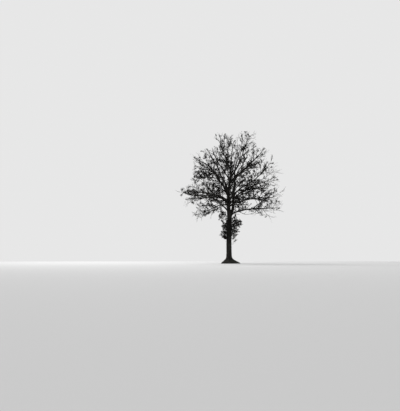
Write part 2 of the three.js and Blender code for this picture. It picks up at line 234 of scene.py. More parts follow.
# The bark is laid on the stem before its foot spreads, so that the furrows run out along the roots.
set_round(trunk, trunk_radius(trunk_height), trunk_angle, trunk_height)
bark_thinning = np.round(lerp(1, BARK_AT_THE_TOP, trunk_height / TRUNK_HEIGHT), BARK_DIGITS)
trunk_patterns = (("VORONOI", FURROWS), ("CLOUDS", BURRS), ("CLOUDS", CRAZING))
bark_relief = barked(trunk, trunk_patterns, bark_thinning, TRUNK_BARK_SHIFT)
to_top = np.clip((trunk_height - TRUNK_HEIGHT + ROUNDED_TOP) / ROUNDED_TOP, 0, ROUNDED_SO_FAR)
reach = foot_radius(trunk_height, trunk_angle) * np.sqrt(1 - to_top**2)
set_round(trunk, reach, trunk_angle, trunk_height)
standing = vertices_of(trunk) + vertices_of(trunk, "normal") * bark_relief[:, None]
standing[:, 2] = np.where(trunk_height > 0, np.maximum(standing[:, 2], 0), 0)
standing[:, :2] += trunk_point(standing[:, 2])[:, :2]
move_vertices(trunk, standing)
trunk.data.shade_smooth()


class Signal:
    """A value on its way through the shader of a bark. Arithmetic on it adds Math nodes."""

    def __init__(self, bark, socket):
        self.bark = bark
        self.socket = socket

    def worked(self, operation, first, second):
        return self.bark.node("ShaderNodeMath", {"operation": operation}, {0: first, 1: second})

    def __add__(self, other):
        return self.worked("ADD", self, other)

    def __sub__(self, other):
        return self.worked("SUBTRACT", self, other)

    def __rsub__(self, other):
        return self.worked("SUBTRACT", other, self)

    def __mul__(self, other):
        return self.worked("MULTIPLY", self, other)

    __radd__ = __add__
    __rmul__ = __mul__


class Bark:
    """A bark's material, with a matt shader that its signals feed."""

    def __init__(self, name, sheen):
        self.material = bpy.data.materials.new(name)
        self.material.use_nodes = True
        self.nodes = self.material.node_tree.nodes
        self.links = self.material.node_tree.links
        self.shader = self.nodes["Principled BSDF"]
        self.shader.inputs["Specular IOR Level"].default_value = sheen

    def feed(self, socket, value):
        if isinstance(value, Signal):
            self.links.new(value.socket, socket)
        else:
            socket.default_value = value

    def node(self, kind, settings, values, output=0):
        made = self.nodes.new(kind)
        for name, value in settings.items():
            setattr(made, name, value)
        for name, value in values.items():
            self.feed(made.inputs[name], value)
        return Signal(self, made.outputs[output])

    def place(self, stretch):
        """The piece's own coordinates, with a pattern on them drawn out upwards."""
        here = self.node("ShaderNodeTexCoord", {}, {}, "Object")
        return self.node("ShaderNodeMapping", {}, {"Vector": here, "Scale": (1, 1, 1 / stretch)})

    def noise(self, place, scale, detail):
        values = {"Vector": place, "Scale": scale, "Detail": detail, "Roughness": 0.6}
        return self.node("ShaderNodeTexNoise", {}, values, "Fac")

    def rising(self, value, low, high):
        """0 below low and 1 above high, with a smooth step between them."""
        settings = {"interpolation_type": "SMOOTHSTEP"}
        return self.node("ShaderNodeMapRange", settings, {"Value": value, "From Min": low, "From Max": high})

    def blend(self, share, first, second):
        """Mixes two colours. Some sockets of the node share a name, so they go by number."""
        return self.node("ShaderNodeMix", {"data_type": "RGBA"}, {0: share, 6: first, 7: second}, 2)

    def dress(self, colour, roughness, height, depth):
        values = {"Height": height, "Strength": 0.7, "Distance": depth}
        bump = self.node("ShaderNodeBump", {}, values)
        self.feed(self.shader.inputs["Base Color"], colour)
        self.feed(self.shader.inputs["Roughness"], roughness)
        self.feed(self.shader.inputs["Normal"], bump)


# These bark colours are darker than the bark itself. Besides its own dark tone they hold painted shade, which
# makes the tree as dark as one standing against a bright sky.
FURROW_BLACK = (0.008, 0.007, 0.006, 1)
RIDGE_GREY = (0.034, 0.032, 0.030, 1)
WORN_GREY = (0.054, 0.052, 0.049, 1)
ALGAE_GREEN = (0.022, 0.027, 0.019, 1)
TRUNK_LOOK = dict(
    stretch=3.2, fibres=130, flakes=34, weather=1.7, crests=(0.45, 1.15), ridges=RIDGE_GREY,
    worn=0.6, algae=(0.48, 0.66), green=0.55, roughest=0.98, smoothing=0.16, depth=0.006,
)


def furrowed_bark(name, look):
    """Bark black in its furrows and grey on its ridges, worn pale here, green with algae there, and darkened
    all over by painted shade.
    """
    bark = Bark(name, sheen=0.25)
    upward = bark.place(look["stretch"])
    level = bark.place(1)
    ridge = bark.node("ShaderNodeAttribute", {"attribute_name": "ridge"}, {}, "Fac")
    fibres = bark.noise(upward, look["fibres"], detail=5)
    flakes = bark.noise(upward, look["flakes"], detail=4)
    weather = bark.noise(level, look["weather"], detail=3)
    crest = bark.rising(ridge + flakes * 0.5, *look["crests"])
    colour = bark.blend(crest, FURROW_BLACK, look["ridges"])
    if "worn" in look:
        colour = bark.blend(bark.rising(flakes, 0.56, 0.7) * crest * look["worn"], colour, WORN_GREY)
    colour = bark.blend(bark.rising(weather, *look["algae"]) * look["green"], colour, ALGAE_GREEN)
    roughness = look["roughest"] - look["smoothing"] * crest
    bark.dress(colour, roughness, fibres * 0.5 + flakes, look["depth"])
    return bark.material


trunk.data.materials.append(furrowed_bark("trunk_bark", TRUNK_LOOK))

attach(trunk, "root")
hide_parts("trunk")


# THE BOUGHS
# Twenty-six limbs of living wood, each swelling into a collar where it leaves the trunk or its parent limb.
# Their bark is thinner than the trunk's, with shallow furrows that fade towards the twigs.

BROAD_LIMBS = (
    # name, parent, from, length, radius, heading, turn, rise
    ("lowest_right", None, 5.15, 5.45, 0.084, 354, 8, (34, 4, 2)),
    ("low_right", None, 6.05, 5.85, 0.082, 332, 14, (32, 4, 14)),
    ("middle_right", None, 6.25, 6.5, 0.086, 22, -10, (48, 28, 26)),
    ("steep_right", None, 4.9, 7.1, 0.168, 26, 0, (57, 92, 50)),
    ("high_right", None, 6.75, 6.2, 0.092, 342, 12, (46, 34, 66)),
    ("upper_right", None, 8.75, 4.7, 0.125, 350, 8, (44, 42, 52)),
    ("top_right", None, 9.25, 5.0, 0.078, 350, 0, (62, 66, 78)),
    ("top_left", None, 9.46, 4.5, 0.084, 188, 0, (82, 70, 90)),
    ("top_middle", "top_left", 0.36, 2.7, 0.05, 16, 0, (80, 88, 90)),
    ("upper_left", None, 9.0, 4.2, 0.074, 172, 6, (50, 62, 76)),
    ("high_left", None, 7.9, 4.9, 0.08, 198, -8, (62, 60, 62)),
    ("middle_left", None, 7.25, 5.9, 0.098, 152, 12, (66, 50, 18)),
    ("forked_left", "middle_left", 0.38, 2.9, 0.054, 190, 0, (20, -2, 6)),
    ("long_left", None, 6.65, 5.2, 0.084, 176, -2, (46, -2, 46)),
    ("low_left", None, 6.35, 5.1, 0.076, 218, -10, (40, 10, 6)),
    ("lowest_left", None, 6.3, 3.8, 0.066, 188, -6, (8, -28, -12)),
)
DEEP_SIDES = (("front", 270, 0.1), ("back", 90, 0.65))  # name, heading, first place in the fan
DEEP_TIERS = 5
DEEP_FAN = 42
DEEP_LOWEST = np.array([5.5, 5.4, 0.082, 40, 14, 8])  # from, length, radius and rise
DEEP_HIGHEST = np.array([8.95, 4.6, 0.068, 66, 60, 62])
LIMB_STEPS = 12
BOUGH_STEPS = 5
LIMB_KINK = 7
LIMB_TAPER = 0.65
LIMB_TIP_RADIUS = 0.014
LIMB_SEED = 2400
USUAL_LIMB_RADIUS = 0.09
COLLAR = 0.042
COLLAR_LENGTH = 0.3
BOUGH_SIDES = 32
BOUGH_CUTS = (59,)
BOUGH_LINE_POINTS = 60
GOLDEN_SHARE = 0.618
NEARLY_UPRIGHT = 0.9

SEED_STEP = 0x9E3779B9
SEED_ROUNDS = ((16, 0x85EBCA6B), (13, 0xC2B2AE35), (16, 1))
SEED_COUNT = 2**32
SEED_MASK = SEED_COUNT - 1

BOUGH_FURROWS = dict(width=0.034, stretch=4.5, depth=0.010, sharpness=0.36, middle=0.33)
BOUGH_BURRS = dict(width=0.13, stretch=1.8, depth=0.012, middle=0.5)
BARK_AT_THE_TWIGS = 0.45
BOUGH_BARK_SHIFT = (1.3, 0.4, 0.7)
# This grey is darker than the bough bark itself. Besides its own dark tone it holds painted shade, which
# makes the boughs as dark as ones standing against a bright sky.
BOUGH_RIDGE_GREY = (0.031, 0.029, 0.027, 1)
BOUGH_LOOK = dict(
    stretch=1, fibres=150, flakes=42, weather=2.1, crests=(0.5, 1.2), ridges=BOUGH_RIDGE_GREY,
    algae=(0.5, 0.68), green=0.5, roughest=0.96, smoothing=0.14, depth=0.003,
)


def chance(seed, draw):
    """A number from 0 to 1 that depends only on the seed and on which draw it is."""
    step = np.uint64((draw + 1) * SEED_STEP & SEED_MASK)
    bits = (np.asarray(seed, np.uint64) + step) & np.uint64(SEED_MASK)
    for shift, factor in SEED_ROUNDS:
        bits = ((bits ^ (bits >> np.uint64(shift))) * np.uint64(factor)) & np.uint64(SEED_MASK)
    return bits / SEED_COUNT


def either_way(seed, draw):
    return 2 * chance(seed, draw) - 1


def direction(heading, rise):
    heading, rise = np.broadcast_arrays(np.radians(heading), np.radians(rise))
    return np.stack([np.cos(heading) * np.cos(rise), np.sin(heading) * np.cos(rise), np.sin(rise)], axis=-1)


def through(values, share):
    start, halfway, end = values
    return (
        start * (1 - share) * (1 - 2 * share)
        + halfway * 4 * share * (1 - share)
        + end * share * (2 * share - 1)
    )


def any_across(along):
    upright = np.abs(along[..., 2:]) > NEARLY_UPRIGHT
    reference = np.where(upright, np.array([0.0, 1.0, 0.0]), np.array([0.0, 0.0, 1.0]))
    return unit(np.cross(along, reference))


def cross_axes(line):
    """The axes across each line of points, turned as little as they can be on the way."""
    ahead = np.concatenate([line[..., 1:, :], line[..., -1:, :]], axis=-2)
    behind = np.concatenate([line[..., :1, :], line[..., :-1, :]], axis=-2)
    alongs = unit(ahead - behind)
    across = any_across(alongs[..., 0, :])
    acrosses = [across]
    for step in range(1, line.shape[-2]):
        along = alongs[..., step, :]
        across = unit(across - along * (across * along).sum(axis=-1, keepdims=True))
        acrosses.append(across)
    acrosses = np.stack(acrosses, axis=-2)
    return acrosses, np.cross(alongs, acrosses)


def limb_points(limb, start):
    points = [start]
    way = None
    for step in range(LIMB_STEPS):
        share = (step + 0.5) / LIMB_STEPS
        heading = limb["heading"] + limb["turn"] * share + LIMB_KINK * either_way(limb["seed"], 2 * step)
        rise = through(limb["rise"], share) + LIMB_KINK * either_way(limb["seed"], 2 * step + 1)
        # The first step past the bough goes straight on, so that the limb end leaves it without a kink.
        if step != BOUGH_STEPS:
            way = direction(heading, rise)
        points.append(points[-1] + way * limb["length"] / LIMB_STEPS)
    return np.array(points)


def limb_radius(limb, share):
    return LIMB_TIP_RADIUS + (limb["radius"] - LIMB_TIP_RADIUS) * (1 - share) ** LIMB_TAPER


def deep_limbs():
    count = DEEP_TIERS * len(DEEP_SIDES)
    for k in range(count):
        side, heading, first_fan = DEEP_SIDES[k % len(DEEP_SIDES)]
        tier = k // len(DEEP_SIDES)
        fan = 2 * ((first_fan + GOLDEN_SHARE * tier) % 1) - 1
        start, length, radius, *rise = lerp(DEEP_LOWEST, DEEP_HIGHEST, k / (count - 1))
        yield f"{side}_{tier + 1}", None, start, length, radius, heading + DEEP_FAN * fan, 0, rise


def new_limb(parent, start, length, radius, heading, turn, rise, seed):
    """A limb that leaves its parent limb at a share of its way, or else the trunk at a height."""
    limb = {"length": length, "radius": radius, "heading": heading, "turn": turn, "rise": rise, "seed": seed}
    foot = trunk_point(start)
    if parent:
        run = start * LIMB_STEPS
        below, above = limbs[parent]["points"][int(run): int(run) + 2]
        foot = lerp(below, above, run % 1)
    limb["points"] = limb_points(limb, foot)
    limb["radii"] = limb_radius(limb, np.arange(LIMB_STEPS + 1) / LIMB_STEPS)
    return limb


limbs = {}
for name, *limb in (*BROAD_LIMBS, *deep_limbs()):
    limbs[name] = new_limb(*limb, LIMB_SEED + len(limbs))


def bend_along(stem, line, length):
    """Bends an upright stem of that length along a line."""
    upright = vertices_of(stem)
    place = np.clip(upright[:, 2] / length, 0, 1) * (len(line) - 1)
    across, sideways = cross_axes(line)
    at, across, sideways = (
        np.stack([np.interp(place, np.arange(len(line)), values[:, i]) for i in range(3)], axis=1)
        for values in (line, across, sideways)
    )
    move_vertices(stem, at + across * upright[:, :1] + sideways * upright[:, 1:2])


bough_bark = furrowed_bark("bough_bark", BOUGH_LOOK)
bough_patterns = (("VORONOI", BOUGH_FURROWS), ("CLOUDS", BOUGH_BURRS))

for number, (name, limb) in enumerate(limbs.items()):
    bough = straight_stem(f"barked_bough_{name}", BOUGH_SIDES, BOUGH_CUTS)
    ring = vertices_of(bough)
    length = limb["length"] * BOUGH_STEPS / LIMB_STEPS
    distance = length * np.round(ring[:, 2], RING_DIGITS)
    girth = limb_radius(limb, distance / limb["length"])
    girth = girth + COLLAR * limb["radius"] / USUAL_LIMB_RADIUS * np.exp(-distance / COLLAR_LENGTH)
    move_vertices(bough, np.stack([ring[:, 0] * girth, ring[:, 1] * girth, distance], axis=1))
    bark_fading = lerp(1, BARK_AT_THE_TWIGS, distance / length) * limb["radius"] / USUAL_LIMB_RADIUS
    across, away, up = BOUGH_BARK_SHIFT
    barked(bough, bough_patterns, np.round(bark_fading, BARK_DIGITS), (number * across, away, number * up))
    bend_along(bough, curve_through(limb["points"], np.linspace(0, BOUGH_STEPS, BOUGH_LINE_POINTS)), length)
    bough.data.shade_smooth()
    bough.data.materials.append(bough_bark)
    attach(bough, "root")
    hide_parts(f"bough_{name}")


# THE LIMB ENDS
# Past its bough each limb runs on as a slender stem into its own mass of twigs, and thins to its tip.
# They are one mesh, with the three tints of twig bark dealt out limb by limb.

TWIG_SEEDS = 500
STEM_SIDES = 10
STEM_RINGS = 36
TIP_RADIUS = 0.0016
TIP_SHARE = 0.1
TIP_BLUNTNESS = 0.05
TIP_TAPER = 0.8
TINT_DRAW = 7
FEWEST_ROUND_SIDES = 4

# These twig colours are darker than the twigs themselves. Besides their own dark tone they hold painted
# shade, which makes the crown as dark as one standing against a bright sky.
DARK_TWIG = ((0.008, 0.007, 0.006, 1), (0.020, 0.018, 0.016, 1))  # old bark and young
BROWN_TWIG = ((0.010, 0.008, 0.007, 1), (0.025, 0.021, 0.018, 1))
GREY_TWIG = ((0.011, 0.011, 0.010, 1), (0.026, 0.025, 0.023, 1))
BREATHING_DOTS = (0.042, 0.039, 0.035, 1)


def twig_tint(name, old, young):
    """A twig bark: matt, and dark partly with painted shade, mottled along the twig, with the pale dots that
    it breathes through.
    """
    bark = Bark(name, sheen=0.2)
    here = bark.place(stretch=1)
    mottle = bark.noise(here, scale=24, detail=4)
    grain = bark.noise(here, scale=160, detail=3)
    dots = bark.node("ShaderNodeTexVoronoi", {}, {"Vector": here, "Scale": 95}, "Distance")
    colour = bark.blend(bark.rising(mottle, low=0.35, high=0.65), old, young)
    colour = bark.blend((1 - bark.rising(dots, low=0.1, high=0.2)) * 0.5, colour, BREATHING_DOTS)
    bark.dress(colour, 0.95 - 0.2 * mottle, height=grain + mottle * 0.5, depth=0.0015)
    return bark.material


twig_barks = (
    twig_tint("twig_bark_dark", *DARK_TWIG),
    twig_tint("twig_bark_brown", *BROWN_TWIG),
    twig_tint("twig_bark_grey", *GREY_TWIG),
)


class Shoots:
    """Like shoots, row by row: the points that each grew by, its softened line, and what it is."""

    def __init__(self, points, radii, length, seed, mass, spray, line=None, girth=None):
        self.points, self.radii, self.length, self.seed = points, radii, length, seed
        self.mass, self.spray, self.line, self.girth = mass, spray, line, girth

    def __len__(self):
        return len(self.points)

    def some(self, rows):
        columns = vars(self).items()
        return Shoots(**{name: None if values is None else values[rows] for name, values in columns})


def together(sets):
    columns = {name: [vars(one)[name] for one in sets] for name in vars(sets[0])}
    return Shoots(**{
        name: None if values[0] is None else np.concatenate(values) for name, values in columns.items()
    })


def slender(some, first, rings, seeds):
    """Limbs from one of their steps to the tip, with a smooth line and a thickness that fades at the tip."""
    share = np.linspace(first, LIMB_STEPS, rings) / LIMB_STEPS
    fading = np.minimum(1, ((1 - share) / TIP_SHARE + TIP_BLUNTNESS) ** TIP_TAPER)
    seed = np.array([limb["seed"] for limb in some]) + seeds
    return Shoots(
        points=np.array([limb["points"][first:] for limb in some]),
        radii=np.array([[*limb["radii"][first:-1], 0] for limb in some]),
        length=np.array([limb["length"] * (1 - first / LIMB_STEPS) for limb in some]),
        seed=seed,
        mass=np.array([limb["mass"] for limb in some]),
        spray=seed,
        line=np.array([curve_through(limb["points"], share * LIMB_STEPS) for limb in some]),
        girth=np.maximum(np.array([limb_radius(limb, share) for limb in some]) * fading, TIP_RADIUS),
    )


def joined_tubes(name, shoots, sides):
    """One mesh of closed tapering tubes, each with a point at its tip and in the tint dealt to its spray."""
    count, rings = shoots.girth.shape
    across, sideways = cross_axes(shoots.line)
    angles = np.arange(sides) * 2 * np.pi / sides
    spread = (
        across[:, :-1, None] * np.cos(angles)[:, None] + sideways[:, :-1, None] * np.sin(angles)[:, None]
    ) * shoots.girth[:, :-1, None, None]
    sleeves = (shoots.line[:, :-1, None] + spread).reshape(count, -1, 3)
    vertices = np.concatenate([sleeves, shoots.line[:, -1:]], axis=1).reshape(-1, 3)

    here = np.arange(sides)
    beside = (here + 1) % sides
    walls = [
        np.stack([here, beside, beside + sides, here + sides], axis=1) + step * sides
        for step in range(rings - 2)
    ]
    last = (rings - 2) * sides
    tip = np.full(sides, (rings - 1) * sides)
    corners = [wall.ravel() for wall in walls] + [np.stack([last + here, last + beside, tip], axis=1).ravel()]
    corners = np.concatenate([*corners, here[::-1]])
    sizes = np.array([4] * sides * (rings - 2) + [3] * sides + [sides])
    each = (rings - 1) * sides + 1
    loops = (np.arange(count)[:, None] * each + corners).ravel()
    totals = np.tile(sizes, count)
    tints = np.floor(chance(shoots.spray, TINT_DRAW) * len(twig_barks))

    mesh = bpy.data.meshes.new(name)
    mesh.vertices.add(len(vertices))
    mesh.vertices.foreach_set("co", vertices.astype(np.float32).ravel())
    mesh.loops.add(len(loops))
    mesh.loops.foreach_set("vertex_index", loops.astype(np.int32))
    mesh.polygons.add(len(totals))
    mesh.polygons.foreach_set("loop_start", (np.cumsum(totals) - totals).astype(np.int32))
    mesh.polygons.foreach_set("material_index", np.repeat(tints, len(sizes)).astype(np.int32))
    mesh.polygons.foreach_set("use_smooth", np.full(len(totals), sides >= FEWEST_ROUND_SIDES))
    mesh.update(calc_edges=True)
    for tint in twig_barks:
        mesh.materials.append(tint)
    piece = bpy.data.objects.new(name, mesh)
    bpy.context.scene.collection.objects.link(piece)
    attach(piece, "root")
    return piece


for number, limb in enumerate(limbs.values()):
    limb["mass"] = number
stems = slender(limbs.values(), BOUGH_STEPS, STEM_RINGS, TWIG_SEEDS)
limb_ends = joined_tubes("limb_ends", stems, STEM_SIDES)
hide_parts(*(f"twigs_{name}" for name in limbs))


# THE FORKS
# Strong side limbs that part from a limb on its way and run on beside it, with the dark strokes of the crown.
# They taper like the limbs that bear them, and end in twigs as those do.

FORKS = (
    # limb that bears it, from, length, radius, heading, rise
    ("middle_right", 0.1, 3.8, 0.07, 350, (36, 26, 14)),
    ("lowest_right", 0.48, 2.5, 0.05, 10, (36, 34, 34)),
    ("lowest_right", 0.58, 1.0, 0.024, 340, (-46, -56, -60)),
    ("low_right", 0.45, 2.3, 0.042, 12, (38, 42, 46)),
    ("upper_right", 0.3, 3.0, 0.05, 20, (60, 78, 76)),
    ("upper_right", 0.55, 2.6, 0.042, 325, (56, 72, 96)),
    ("top_right", 0.35, 2.9, 0.04, 20, (74, 82, 90)),
    ("top_left", 0.5, 1.2, 0.036, 168, (50, 60, 72)),
    ("top_left", 0.18, 2.4, 0.048, 204, (46, 50, 54)),
    ("middle_left", 0.52, 2.3, 0.044, 202, (-20, -10, 8)),
    ("middle_left", 0.24, 2.6, 0.05, 206, (24, 0, -6)),
    ("long_left", 0.3, 2.3, 0.048, 190, (42, 42, 40)),
    ("low_left", 0.34, 3.2, 0.052, 198, (-12, -6, -2)),
    ("lowest_left", 0.32, 2.1, 0.036, 160, (12, 0, -8)),
    ("high_left", 0.3, 2.9, 0.05, 176, (30, 34, 36)),
    ("high_left", 0.5, 2.2, 0.042, 200, (78, 70, 66)),
    ("high_right", 0.34, 2.9, 0.05, 8, (24, 20, 30)),
    ("middle_right", 0.42, 2.6, 0.045, 340, (4, 2, 10)),
    ("low_right", 0.06, 1.9, 0.045, 350, (12, 0, -6)),
    ("middle_right", 0.06, 2.6, 0.05, 5, (22, 10, 6)),
    ("long_left", 0.05, 1.5, 0.04, 190, (-20, -28, -16)),
    ("low_right", 0.66, 1.7, 0.036, 10, (34, 20, 10)),
    ("high_right", 0.7, 1.6, 0.034, 350, (46, 64, 80)),
    ("middle_left", 0.68, 1.5, 0.034, 150, (56, 66, 80)),
    ("high_left", 0.6, 1.4, 0.034, 205, (44, 56, 70)),
    ("high_right", 0.42, 1.7, 0.036, 20, (66, 76, 82)),
    ("top_left", 0.58, 2.0, 0.036, 10, (84, 88, 92)),
    ("upper_right", 0.52, 2.0, 0.036, 345, (18, 20, 26)),
    ("upper_right", 0.8, 1.2, 0.03, 350, (24, 30, 40)),
    ("low_right", 0.62, 1.3, 0.034, 20, (56, 46, 30)),
    ("lowest_right", 0.58, 1.4, 0.034, 345, (50, 38, 10)),
    ("lowest_right", 0.08, 1.3, 0.032, 350, (30, 24, 20)),
    ("middle_left", 0.1, 1.8, 0.04, 190, (26, 22, 24)),
    ("low_left", 0.1, 1.7, 0.036, 190, (14, 0, -6)),
    ("middle_left", 0.62, 1.5, 0.034, 195, (-10, 0, 12)),
    ("lowest_left", 0.2, 0.9, 0.026, 190, (-40, -50, -50)),
    ("lowest_left", 0.14, 0.7, 0.024, 180, (-60, -50, -40)),
    ("lowest_right", 0.03, 0.8, 0.03, 340, (10, 50, 60)),
    ("middle_left", 0.5, 2.2, 0.04, 195, (2, 4, 10)),
    ("low_right", 0.72, 1.2, 0.034, 345, (60, 50, 30)),
    ("top_middle", 0.55, 1.4, 0.03, 0, (66, 76, 84)),
    ("lowest_right", 0.7, 1.2, 0.034, 10, (40, 30, 10)),
    ("lowest_right", 0.62, 1.1, 0.032, 350, (70, 60, 50)),
    ("long_left", 0.7, 1.3, 0.034, 180, (40, 20, 0)),
    ("upper_right", 0.72, 1.3, 0.03, 10, (80, 84, 90)),
    ("lowest_left", 0.1, 2.7, 0.034, 186, (-24, -24, -22)),
    ("lowest_right", 0.36, 1.7, 0.04, 356, (6, 6, 4)),
    ("low_right", 0.5, 1.7, 0.036, 348, (0, -10, -26)),
)
FORK_SEED = 3300
FORK_SIDES = 9
FORK_RINGS = 26

fork_limbs = []
for number, (parent, start, length, radius, heading, rise) in enumerate(FORKS):
    fork = new_limb(parent, start, length, radius, heading, 0, rise, FORK_SEED + number)
    fork_limbs.append(dict(fork, mass=limbs[parent]["mass"]))
forks = slender(fork_limbs, 0, FORK_RINGS, 0)
joined_tubes("forks", forks, FORK_SIDES)


# THE BRANCHLETS
# The side branches of the limbs, as long as an arm's span near the bough and shorter towards the tip.
# They stand in a spiral, and a shoot that would leave its mass's own space or touch a limb isn't grown.

# A habit says how a family of shoots grows: its steps, how much it strays and lifts at each, how many a
# parent bears and on which part of its way, their length and thickness against its own, and how they lean.
BRANCHLETS = dict(
    steps=2, kink=0.3, lift=0.1, count=8, first=0.04, last=0.88,
    length=0.6, shortening=0.5, lean=56, thickness=0.5,
)
BOUGH_BRANCHLETS = dict(
    steps=3, kink=0.25, lift=0.06, count=9, first=0.22, last=1,
    length=0.42, shortening=0.1, lean=58, thickness=0.2, least=0.022,
)
FORK_BRANCHLETS = dict(
    steps=3, kink=0.28, lift=0.08, count=10, first=0.1, last=0.98,
    length=0.32, shortening=0.3, lean=50, thickness=0.5, least=0.026,
)
BOUGH_BRANCHLET_SEEDS = 900
WHOLE_LIMB_STEP = 10
WHOLE_LIMB_RINGS = 1 + WHOLE_LIMB_STEP * LIMB_STEPS
BRANCHLET_RINGS = 10
BRANCHLET_SIDES = 6
SPACE_SHARE = 0.55
LEAN_ALONG = (1.1, 0.7)
LEAN_SPREAD = (0.85, 1.15)
VIGOUR_SPREAD = (0.75, 1.25)
SHORTENED = (1, 0.75, 0.5)
SHORTEST = 0.14
GAP_TO_LIMBS = 0.01
GAP_TO_NEIGHBOURS = 0.024
PLACES_TESTED = 8
GOLDEN_TURN = 137.5
DRAW_OF = dict(turn=30, place=40, lean=60, vigour=80, child=100, sway=20)
EDGE_DRAW = 9
SWAY = 0.05
SHOOT_TAPER = 0.7
TRUNK_RINGS = 16
TRUNK_CROWDING = 2.2

TUFT_COUNT = 6
TUFT_STEMS = dict(steps=6, kink=0.16, lift=0)
LOWEST_TUFT = np.array([2.85, 0.8])  # height and length
HIGHEST_TUFT = np.array([4.65, 1.15])
TUFT_HEADING = 190
TUFT_RISE = 38
TUFT_RADIUS = 0.03
TUFT_SEED = 5200

VIEWPOINT = np.array([-3.124, -63.0, 1.2])
GAP_EDGE = (0.45, 1.2)
GAPS = (
    # across, height and half sizes of the gaps between the limbs, as they are seen from the front
    (2.2, 6.55, 0.2, 0.12),
    (2.65, 6.7, 0.42, 0.21),
    (3.15, 6.52, 0.38, 0.18),
    (2.9, 6.36, 0.42, 0.16),
    (3.5, 7.43, 0.38, 0.24),
    (-0.29, 9.38, 0.16, 0.49),
    (0.88, 7.91, 0.28, 0.5),
    (1.02, 9.2, 0.18, 0.38),
    (-0.57, 5.92, 0.24, 0.28),
    (3.25, 10.06, 0.4, 0.26),
    (2.09, 11.67, 0.17, 0.24),
    (-3.03, 9.0, 0.3, 0.22),
    (0.66, 11.53, 0.26, 0.7),
    (-2.98, 6.7, 0.28, 0.16),
    (-2.58, 6.5, 0.28, 0.16),
    (0.25, 12.3, 0.26, 0.65),
    (-1.5, 6.42, 0.16, 0.13),
    (-1.28, 6.26, 0.24, 0.15),
    (-1.5, 11.62, 0.36, 0.28),
    (-0.62, 11.55, 0.22, 0.2),
    (1.71, 10.7, 0.26, 0.32),
    (1.2, 10.36, 0.25, 0.3),
    (-0.52, 7.19, 0.24, 0.2),
    (1.18, 12.3, 0.19, 0.42),
    (-0.36, 13.16, 0.16, 0.38),
    (3.53, 9.27, 0.28, 0.26),
    (4.08, 9.62, 0.24, 0.26),
    (-1.75, 12.3, 0.36, 0.36),
    (-0.85, 10.1, 0.14, 0.28),
    (1.38, 11.56, 0.2, 0.32),
    (2.68, 11.45, 0.26, 0.26),
    (4.7, 6.34, 0.32, 0.24),
    (1.06, 13.15, 0.24, 0.42),
    (5.14, 7.25, 0.28, 0.38),
    (0.6, 7.74, 0.12, 0.3),
    (1.72, 12.1, 0.16, 0.24),
    (5.4, 7.85, 0.22, 0.22),
    (-3.45, 11.75, 0.25, 0.25),
    (4.35, 10.6, 0.2, 0.3),
    (-1.55, 9.2, 0.2, 0.2),
    (-2.55, 7.85, 0.2, 0.16),
    (-1.23, 10.47, 0.18, 0.2),
    (3.5, 5.69, 0.3, 0.15),
    (-1.44, 12.33, 0.16, 0.22),
    (-1.0, 13.32, 0.14, 0.24),
    (-4.26, 7.2, 0.25, 0.12),
    (4.6, 7.3, 0.22, 0.18),
    (-2.75, 12.05, 0.25, 0.25),
    (1.47, 8.18, 0.18, 0.2),
    (-1.0, 6.9, 0.2, 0.14),
    (0.72, 9.92, 0.14, 0.3),
    (1.8, 8.4, 0.16, 0.14),
    (-0.5, 4.5, 0.16, 0.16),
    (-2.42, 11.02, 0.16, 0.14),
    (1.45, 5.15, 0.22, 0.16),
    # and of the notches in the crown's outline
    (6.15, 8.3, 0.6, 0.45),
    (5.95, 9.8, 0.5, 0.45),
    (5.2, 11.9, 0.75, 0.5),
    (5.85, 5.55, 0.6, 0.4),
    (4.8, 4.8, 1.1, 0.4),
    (-3.5, 4.6, 1.4, 0.42),
    (-5.8, 7.9, 0.4, 0.5),
    (-1.85, 13.9, 0.4, 0.55),
)


def step_at(values, share):
    """The values before and after a share of the way along each row, and how far it is past the first."""
    run = share * (values.shape[1] - 1)
    step = np.minimum(values.shape[1] - 2, run.astype(int))
    rows = np.arange(len(values))
    return values[rows, step], values[rows, step + 1], run - step


def place_on(points, share):
    """A point at a share of the way along each line of points, with the direction there."""
    below, above, past = step_at(points, share)
    return lerp(below, above, past[:, None]), unit(above - below)


def grown(habit, start, along, length, radius, seed, mass, spray):
    """Shoots that set out along a way and stray from it a little at each step."""
    points = [start]
    way = along
    for step in range(habit["steps"]):
        stray = np.stack([either_way(seed, 3 * step + axis) for axis in range(3)], axis=1)
        way = unit(way + habit["kink"] * stray + np.array([0, 0, habit["lift"]]))
        points.append(points[-1] + way * (length / habit["steps"])[:, None])
    radius = np.maximum(radius, habit.get("least", 0))
    radius = np.minimum(radius, length * habit.get("stoutest", 1))
    radii = radius[:, None] * (1 - np.arange(habit["steps"] + 1) / habit["steps"])
    return Shoots(np.stack(points, axis=1), radii, length, seed, mass, spray)


def softened(shoots, rings, taper=SHOOT_TAPER):
    """Gives shoots a smooth, slightly swaying line in place of straight steps, and a thickness along it."""
    share = np.linspace(0, 1, rings)
    shoots.line = curve_through(shoots.points, share * (shoots.points.shape[1] - 1))
    across, sideways = cross_axes(shoots.line[:, [0, -1]])
    for axis, waves, draw in ((across, 1, 0), (sideways, 1, 1), (across, 2, 2), (sideways, 2, 3)):
        size = SWAY / waves * shoots.length * either_way(shoots.seed, DRAW_OF["sway"] + draw)
        shoots.line = shoots.line + axis[:, :1] * (size[:, None] * np.sin(waves * np.pi * share))[..., None]
    shoots.girth = np.maximum(shoots.radii[:, :1] * (1 - share) ** taper, TIP_RADIUS)
    return shoots


def distances(places, starts, ends):
    """How far each place is from each straight piece, one row to a place."""
    run = ends - starts
    offset = places[:, None] - starts
    share = np.clip((offset * run).sum(axis=-1) / (run * run).sum(axis=-1), 0, 1)
    return np.linalg.norm(offset - run * share[..., None], axis=-1)


